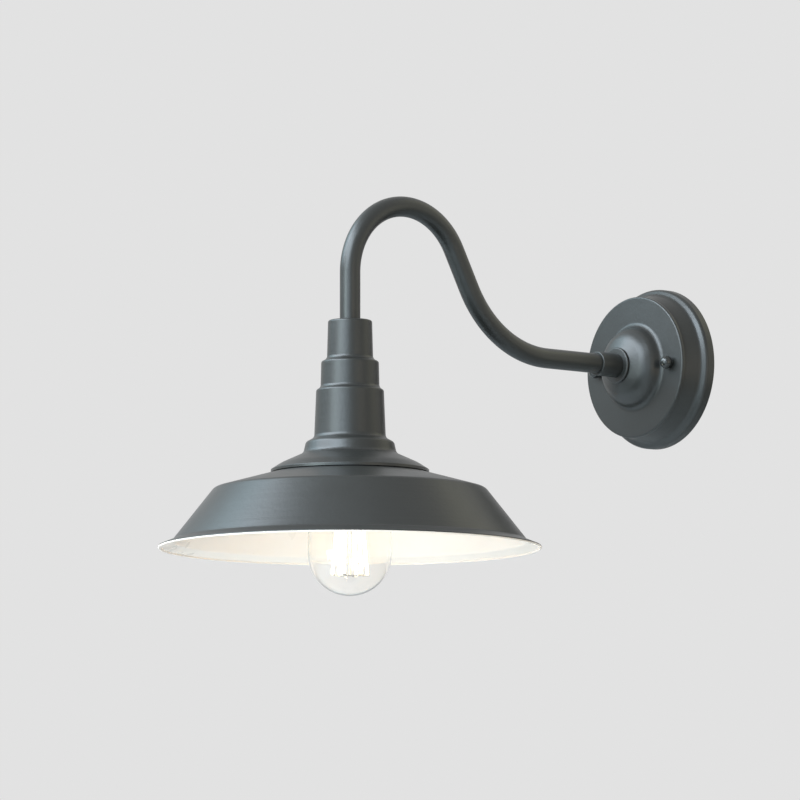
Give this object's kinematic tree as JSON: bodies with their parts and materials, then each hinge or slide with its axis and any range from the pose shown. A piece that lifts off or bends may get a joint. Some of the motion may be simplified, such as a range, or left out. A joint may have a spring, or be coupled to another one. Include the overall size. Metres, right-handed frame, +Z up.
{
  "type": "gooseneck wall sconce",
  "caption": "Gooseneck wall sconce: a round canopy, a bent tube arm, a stepped neck cover and a flared shade over a globe bulb that screws into a lampholder.",
  "frame": {"origin": "centre of the wall bracket's back face, in the plane of the wall", "axes": "+Z up, -Y out of the wall towards the lamp, +X to the right as seen from the room"},
  "size_m": [0.26, 0.4154, 0.2773],
  "materials": {
    "satin_paint": "satin dark grey powder coat, fine texture; warm white enamel inside the shade",
    "zinc_steel": "zinc plated, dull",
    "brass": "plain, slightly dull",
    "ceramic": "glazed white porcelain",
    "green_screw": "green dipped earth screw",
    "green_wire": "insulation",
    "black_wire": "insulation",
    "white_wire": "insulation",
    "connector_plastic": "moulded, satin",
    "cap_metal": "bright rolled thread",
    "cap_insulator": "black glass insulator",
    "clear_glass": "clear blown glass",
    "frame_wire": "bare drawn wire",
    "filament": "lit, warm white glow"
  },
  "bodies": {
    "lamp": {"wall_bracket": "zinc_steel", "stud_screws": "zinc_steel", "stud_lock_nuts": "zinc_steel", "ground_screw": "green_screw", "earth_lug": "brass", "earth_wire": "green_wire", "wire_connectors": "connector_plastic", "canopy_pan": "satin_paint", "canopy_face": "satin_paint", "trim_washer": "satin_paint", "arm_sleeve": "satin_paint", "wall_nipple": "zinc_steel", "wall_lock_washer": "zinc_steel", "wall_lock_nut": "zinc_steel", "arm_tube": "satin_paint", "tube_plugs": "zinc_steel", "live_wire": "black_wire", "neutral_wire": "white_wire", "head_nipple": "zinc_steel", "neck_cover": "satin_paint", "neck_lock_washer": "zinc_steel", "neck_lock_nut": "zinc_steel", "shade": "satin_paint", "lampholder_cap": "zinc_steel", "lampholder_body": "ceramic", "terminal_screws": "brass", "screw_shell": "brass", "centre_contact": "brass", "clamp_ring": "ceramic"},
    "bulb": {"bulb_cap": "cap_metal", "bulb_insulator": "cap_insulator", "bulb_contact": "cap_metal", "bulb_glass": "clear_glass", "bulb_stem": "clear_glass", "filament_frame": "frame_wire", "filaments": "filament"},
    "left_nut": {"ball_nut_left": "satin_paint"},
    "right_nut": {"ball_nut_right": "satin_paint"}
  },
  "joints": [
    {"name": "bulb_screw", "type": "slide", "parent": "lamp", "child": "bulb", "axis": [0, 0, -1], "range_m": [0, 0.02]},
    {"name": "left_nut_turn", "type": "hinge", "parent": "lamp", "child": "left_nut", "pos_m": [-0.0375, -0.0249, 0], "axis": [0, -1, 0], "continuous": true},
    {"name": "right_nut_turn", "type": "hinge", "parent": "lamp", "child": "right_nut", "pos_m": [0.0375, -0.0249, 0], "axis": [0, -1, 0], "continuous": true}
  ]
}
